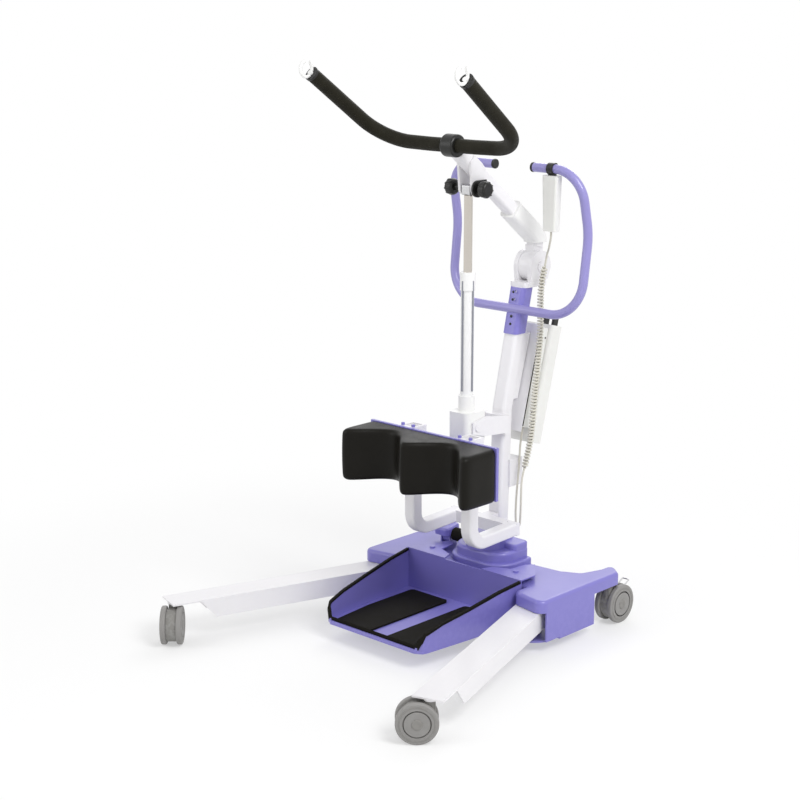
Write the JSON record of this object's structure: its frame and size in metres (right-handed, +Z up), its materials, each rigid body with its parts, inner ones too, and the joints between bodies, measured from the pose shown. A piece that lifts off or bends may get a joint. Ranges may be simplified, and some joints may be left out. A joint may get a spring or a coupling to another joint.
{
  "type": "sit to stand lift",
  "caption": "Sit to stand patient lift with spreading legs, foot tray, knee pad, leaning mast, powered boom with foam handle, push loop and corded handset.",
  "frame": {"origin": "middle of the footprint, on the floor under the castors", "axes": "+X to the patient's left, the lift's right side, +Y towards the attendant, +Z up"},
  "size_m": [0.921, 0.9736, 1.3778],
  "materials": {
    "purple_paint": "semi-gloss powder coat",
    "white_paint": "semi-gloss powder coat",
    "white_plastic": "satin moulding",
    "pale_plastic": "satin moulding",
    "aluminium_white": "white anodised",
    "chrome_rod": "polished",
    "steel": "brushed",
    "black_foam": "closed cell foam",
    "black_rubber": "matt",
    "black_plastic": "satin moulding",
    "pad_vinyl": "soft moulded skin",
    "castor_grey": "satin moulding",
    "castor_tyre": "satin",
    "button_grey": "satin moulding",
    "cord_grey": "satin"
  },
  "bodies": {
    "base": {"base_cover": "purple_paint", "base_frame": "purple_paint", "pivot_pins": "steel", "pedal_bracket": "purple_paint", "foot_tray": "purple_paint", "tray_trim": "black_rubber", "tray_fixings": "steel", "tread_mats": "black_rubber", "turret": "purple_paint", "mast": "white_paint", "mast_sleeve": "purple_paint", "mast_head": "white_paint", "mast_brackets": "white_paint", "actuator_bracket": "white_paint", "push_loop": "purple_paint", "loop_caps": "black_plastic", "knee_frame": "white_paint", "control_box": "pale_plastic", "handset_hook": "black_plastic", "handset": "pale_plastic", "cord_lead": "cord_grey", "cord_coil": "cord_grey", "cord_tail": "cord_grey"},
    "leg_right": {"leg_right": "white_paint"},
    "leg_left": {"leg_left": "white_paint"},
    "spreader": {"spreader_bar": "steel"},
    "pedal": {"leg_pedal": "purple_paint", "pedal_pad": "black_rubber"},
    "boom": {"boom": "white_paint", "boom_cover": "white_plastic", "handle_collar": "black_plastic", "clevis_washers": "black_plastic"},
    "knob_right": {"knob_right": "black_plastic"},
    "knob_left": {"knob_left": "black_plastic"},
    "handle": {"handle_tube": "steel", "foam_grips": "black_foam", "handle_end_caps": "black_plastic", "sling_hooks": "white_plastic"},
    "actuator": {"motor_housing": "white_plastic", "actuator_tube": "aluminium_white"},
    "ram": {"actuator_rod": "chrome_rod", "rod_end": "steel"},
    "knee_support": {"knee_plate": "purple_paint", "knee_clamps": "white_paint", "clamp_screws": "purple_paint", "knee_pad": "pad_vinyl"},
    "battery": {"battery_pack": "pale_plastic", "battery_handle": "black_plastic"},
    "button_up": {"button_up": "button_grey"},
    "button_down": {"button_down": "button_grey"},
    "castor_front_right": {"castor_hood_front_right": "castor_grey"},
    "wheels_front_right": {"castor_wheels_front_right": "castor_tyre"},
    "castor_front_left": {"castor_hood_front_left": "castor_grey"},
    "wheels_front_left": {"castor_wheels_front_left": "castor_tyre"},
    "castor_rear_right": {"castor_hood_rear_right": "castor_grey"},
    "wheels_rear_right": {"castor_wheels_rear_right": "castor_tyre"},
    "brake_rear_right": {"brake_lever_rear_right": "steel"},
    "castor_rear_left": {"castor_hood_rear_left": "castor_grey"},
    "wheels_rear_left": {"castor_wheels_rear_left": "castor_tyre"},
    "brake_rear_left": {"brake_lever_rear_left": "steel"}
  },
  "joints": [
    {"name": "leg_right_splay", "type": "hinge", "parent": "base", "child": "leg_right", "pos_m": [0.228, 0.15993, 0.1], "axis": [0, 0, 1], "range_deg": [-18.5, 0]},
    {"name": "leg_left_splay", "type": "hinge", "parent": "base", "child": "leg_left", "pos_m": [-0.228, 0.15993, 0.1], "axis": [0, 0, 1], "range_deg": [0, 18.5]},
    {"name": "spreader_slide", "type": "slide", "parent": "base", "child": "spreader", "axis": [0, 1, 0], "range_m": [-0.0129, 0]},
    {"name": "pedal_rock", "type": "hinge", "parent": "base", "child": "pedal", "pos_m": [-0.16, 0.28793, 0.152], "axis": [1, 0, 0], "range_deg": [-18.5, 0]},
    {"name": "boom_lift", "type": "hinge", "parent": "base", "child": "boom", "pos_m": [0, 0.41293, 0.866], "axis": [1, 0, 0], "range_deg": [0, 33]},
    {"name": "actuator_tilt", "type": "hinge", "parent": "base", "child": "actuator", "pos_m": [0, 0.16993, 0.5], "axis": [1, 0, 0], "range_deg": [0, 10.36]},
    {"name": "ram_slide", "type": "slide", "parent": "actuator", "child": "ram", "axis": [0, 0, 1], "range_m": [-0.15798, 0]},
    {"name": "handle_tilt", "type": "hinge", "parent": "boom", "child": "handle", "pos_m": [0, 0.11193, 1.181], "axis": [1, 0, 0], "range_deg": [-20, 20]},
    {"name": "knob_right_turn", "type": "hinge", "parent": "boom", "child": "knob_right", "pos_m": [0.04, 0.17393, 1.077], "axis": [1, 0, 0], "range_deg": [-180, 180]},
    {"name": "knob_left_turn", "type": "hinge", "parent": "boom", "child": "knob_left", "pos_m": [-0.04, 0.17393, 1.077], "axis": [-1, 0, 0], "range_deg": [-180, 180]},
    {"name": "knee_height", "type": "slide", "parent": "base", "child": "knee_support", "axis": [0, 0, 1], "range_m": [-0.06, 0]},
    {"name": "battery_lift_out", "type": "slide", "parent": "base", "child": "battery", "axis": [0, 0.2588, 0.9659], "range_m": [0, 0.1]},
    {"name": "button_up_press", "type": "slide", "parent": "base", "child": "button_up", "axis": [0, -1, 0], "range_m": [0, 0.0012], "stiffness_N_per_m": 400, "springref_m": -0.0005},
    {"name": "button_down_press", "type": "slide", "parent": "base", "child": "button_down", "axis": [0, -1, 0], "range_m": [0, 0.0012], "stiffness_N_per_m": 400, "springref_m": -0.0005},
    {"name": "front_right_swivel", "type": "hinge", "parent": "leg_right", "child": "castor_front_right", "pos_m": [0.42092, -0.41665, 0.095], "axis": [0, 0, 1], "continuous": true},
    {"name": "front_right_roll", "type": "hinge", "parent": "castor_front_right", "child": "wheels_front_right", "pos_m": [0.4006, -0.43592, 0.0465], "axis": [0.6881, -0.7256, 0], "continuous": true},
    {"name": "front_left_swivel", "type": "hinge", "parent": "leg_left", "child": "castor_front_left", "pos_m": [-0.42092, -0.41665, 0.095], "axis": [0, 0, 1], "continuous": true},
    {"name": "front_left_roll", "type": "hinge", "parent": "castor_front_left", "child": "wheels_front_left", "pos_m": [-0.40165, -0.43697, 0.0465], "axis": [0.7256, 0.6881, 0], "continuous": true},
    {"name": "rear_right_swivel", "type": "hinge", "parent": "base", "child": "castor_rear_right", "pos_m": [0.275, 0.39493, 0.095], "axis": [0, 0, 1], "continuous": true},
    {"name": "rear_right_roll", "type": "hinge", "parent": "castor_rear_right", "child": "wheels_rear_right", "pos_m": [0.275, 0.42093, 0.0485], "axis": [-1, 0, 0], "continuous": true},
    {"name": "rear_right_brake", "type": "hinge", "parent": "castor_rear_right", "child": "brake_rear_right", "pos_m": [0.275, 0.44693, 0.0855], "axis": [-1, 0, 0], "range_deg": [0, 20]},
    {"name": "rear_left_swivel", "type": "hinge", "parent": "base", "child": "castor_rear_left", "pos_m": [-0.275, 0.39493, 0.095], "axis": [0, 0, 1], "continuous": true},
    {"name": "rear_left_roll", "type": "hinge", "parent": "castor_rear_left", "child": "wheels_rear_left", "pos_m": [-0.275, 0.42093, 0.0485], "axis": [-1, 0, 0], "continuous": true},
    {"name": "rear_left_brake", "type": "hinge", "parent": "castor_rear_left", "child": "brake_rear_left", "pos_m": [-0.275, 0.44693, 0.0855], "axis": [-1, 0, 0], "range_deg": [0, 20]}
  ],
  "couplings": [
    {"joint": "leg_left_splay", "follows": "leg_right_splay", "ratio": -1},
    {"joint": "spreader_slide", "follows": "leg_right_splay", "m_per_rad": 0.039826},
    {"joint": "pedal_rock", "follows": "leg_right_splay", "ratio": 1},
    {"joint": "actuator_tilt", "follows": "boom_lift", "ratio": 0.31333},
    {"joint": "ram_slide", "follows": "boom_lift", "m_per_rad": -0.2742}
  ]
}
